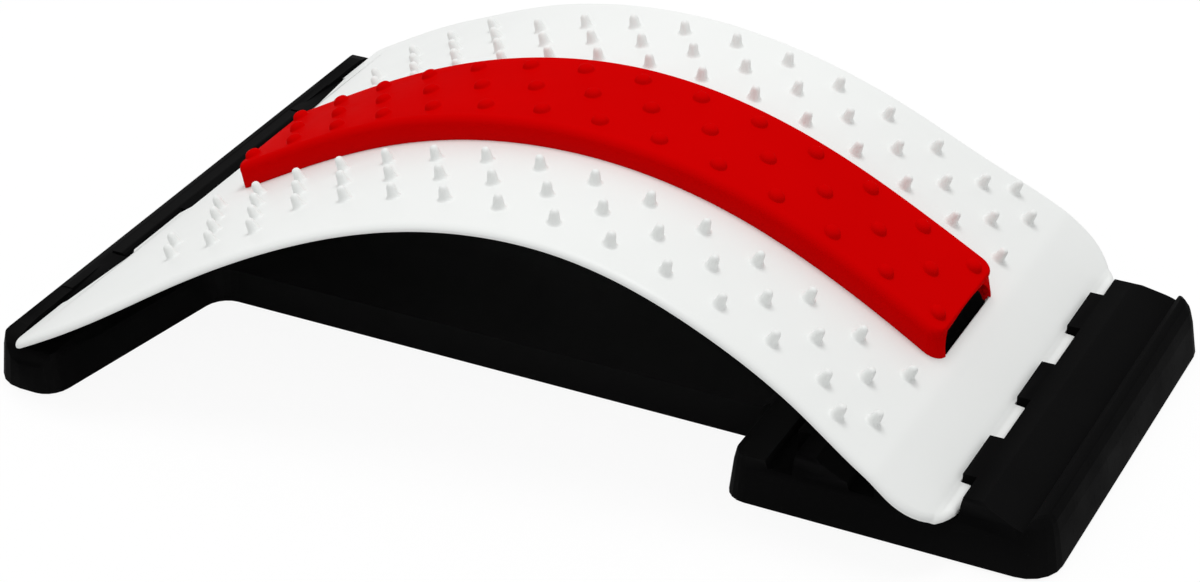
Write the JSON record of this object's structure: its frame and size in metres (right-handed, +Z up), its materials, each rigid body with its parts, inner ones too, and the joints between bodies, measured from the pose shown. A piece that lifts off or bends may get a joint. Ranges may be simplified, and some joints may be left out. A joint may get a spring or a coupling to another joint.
{
  "type": "arched back stretcher",
  "caption": "Arched back stretcher: a white board with massage pins and a red spine strip over a black ratchet base.",
  "frame": {"origin": "middle of the base's outline, on the floor under the pads", "axes": "+X along the object, from the hinge end to the rows of teeth; +Y across it; +Z up"},
  "size_m": [0.3702, 0.2448, 0.0939],
  "materials": {
    "base_plastic": "satin",
    "board_plastic": "satin",
    "strip_plastic": "satin",
    "pad_rubber": "matte"
  },
  "bodies": {
    "base_body": {"base": "base_plastic", "pad_1": "pad_rubber", "pad_2": "pad_rubber", "pad_3": "pad_rubber", "pad_4": "pad_rubber", "pad_5": "pad_rubber", "pad_6": "pad_rubber"},
    "board_body": {"arch_board": "board_plastic", "spine_strip": "strip_plastic"}
  },
  "joints": [
    {"name": "board_swing", "type": "hinge", "parent": "base_body", "child": "board_body", "pos_m": [-0.1715, 0, 0.01771], "axis": [0, -1, 0], "range_deg": [0, 60]}
  ]
}
